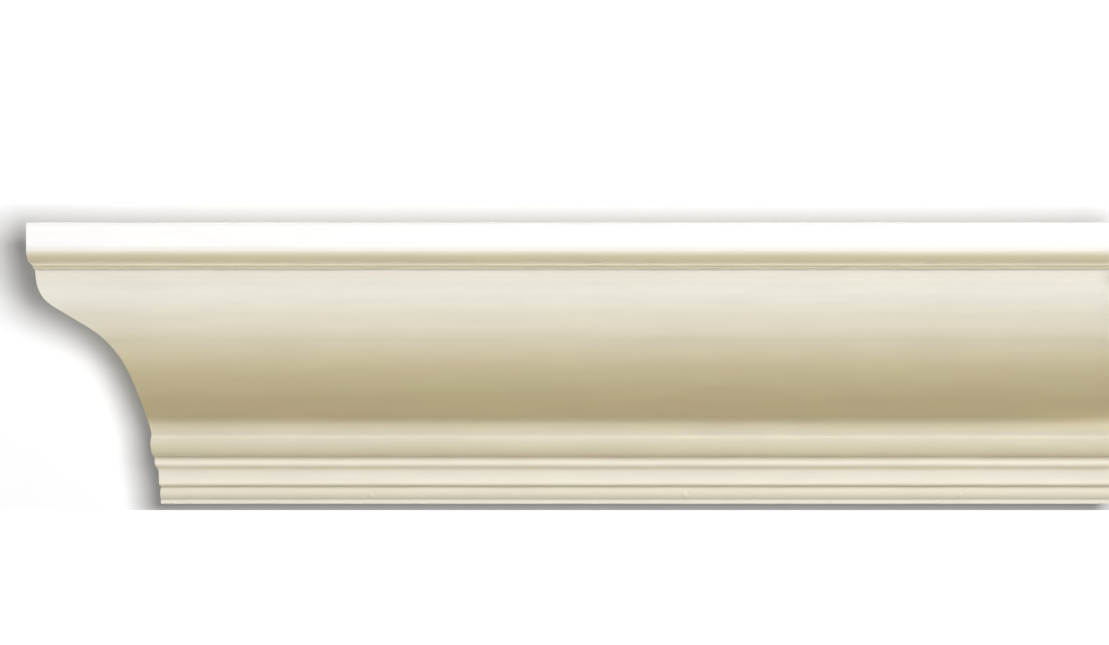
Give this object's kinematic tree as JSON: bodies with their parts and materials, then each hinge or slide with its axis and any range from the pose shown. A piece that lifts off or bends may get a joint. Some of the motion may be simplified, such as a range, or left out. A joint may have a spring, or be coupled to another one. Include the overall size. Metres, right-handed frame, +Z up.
{
  "type": "crown moulding length",
  "caption": "Ivory crown moulding for the corner of wall and ceiling: a fascia, a big double curve and small members at its foot, mitred at the left end and cut square at the right.",
  "frame": {"origin": "middle of the flat back face that lies on the wall", "axes": "+X along the moulding from the mitred end to the square end, +Y into the wall, +Z up to the ceiling; the front looks towards -Y"},
  "size_m": [0.515, 0.0698, 0.1333],
  "materials": {
    "primed_ivory": "factory primer in warm ivory over moulded polyurethane foam, smooth and slightly satin"
  },
  "bodies": {
    "root": {"moulding_length": "primed_ivory"}
  },
  "joints": []
}
